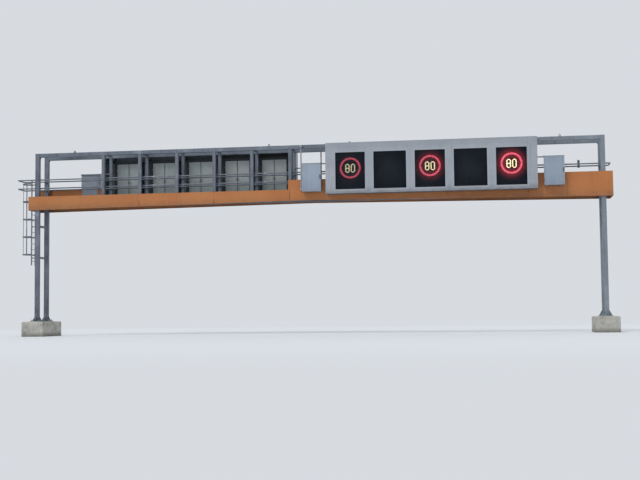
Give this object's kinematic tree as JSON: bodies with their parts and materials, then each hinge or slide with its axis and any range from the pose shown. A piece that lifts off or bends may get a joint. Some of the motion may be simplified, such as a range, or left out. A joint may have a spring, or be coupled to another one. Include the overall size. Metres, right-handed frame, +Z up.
{
  "type": "overhead sign gantry",
  "caption": "Full-span motorway sign gantry: twin-plane steel portal with an orange walkway fascia, speed and lane displays facing both ways, and a caged ladder.",
  "frame": {"origin": "centre of the left plinth's underside, on the ground", "axes": "+X along the span towards the right end, +Y from the near face, which the picture shows, to the far face, +Z up"},
  "size_m": [27.9706, 2.5, 8.8249],
  "materials": {
    "galvanised_steel": "dull weathered galvanised steel",
    "orange_paint": "satin orange paint, road film",
    "grating_steel": "galvanised grating",
    "casing_paint": "satin light grey paint",
    "cabinet_paint": "satin pale blue-grey paint",
    "display_black": "matt black",
    "door_paint": "satin grey-green paint",
    "sensor_plastic": "matt grey",
    "concrete": "cast concrete"
  },
  "bodies": {
    "root": {"plinth_left": "concrete", "plinth_right": "concrete", "column_left_near": "galvanised_steel", "column_left_far": "galvanised_steel", "column_right_near": "galvanised_steel", "column_right_far": "galvanised_steel", "column_ties_left": "galvanised_steel", "column_ties_right": "galvanised_steel", "top_chord_near": "galvanised_steel", "top_chord_far": "galvanised_steel", "bottom_chord_near": "galvanised_steel", "bottom_chord_far": "galvanised_steel", "chord_flanges": "galvanised_steel", "frame_posts_near": "galvanised_steel", "frame_posts_far": "galvanised_steel", "top_cross_beams": "galvanised_steel", "floor_cross_beams": "galvanised_steel", "handrail_near": "galvanised_steel", "handrail_far": "galvanised_steel", "end_rails": "galvanised_steel", "lifting_lugs": "galvanised_steel", "casing_arms_near": "galvanised_steel", "casing_arms_far": "galvanised_steel", "display_rails_near": "galvanised_steel", "display_rails_far": "galvanised_steel", "cabinet_rails": "galvanised_steel", "cable_pipes": "galvanised_steel", "access_ladder": "galvanised_steel", "cage_hoops": "galvanised_steel", "cage_straps": "galvanised_steel", "fascia_near_low": "orange_paint", "fascia_near_tall": "orange_paint", "fascia_far_low": "orange_paint", "fascia_far_tall": "orange_paint", "fascia_end_left": "orange_paint", "fascia_end_right": "orange_paint", "walkway_grating": "grating_steel", "sign_casing_near": "casing_paint", "sign_casing_far": "casing_paint", "cabinet_near_inner": "cabinet_paint", "cabinet_near_outer": "cabinet_paint", "cabinet_far_inner": "cabinet_paint", "cabinet_far_outer": "cabinet_paint", "display_near_1": "display_black", "display_near_2": "display_black", "display_near_3": "display_black", "display_near_4": "display_black", "display_near_5": "display_black", "display_far_1": "display_black", "display_far_2": "display_black", "display_far_3": "display_black", "display_far_4": "display_black", "display_far_5": "display_black", "rear_doors_near": "door_paint", "rear_doors_far": "door_paint", "rail_sensor": "sensor_plastic"}
  },
  "joints": []
}
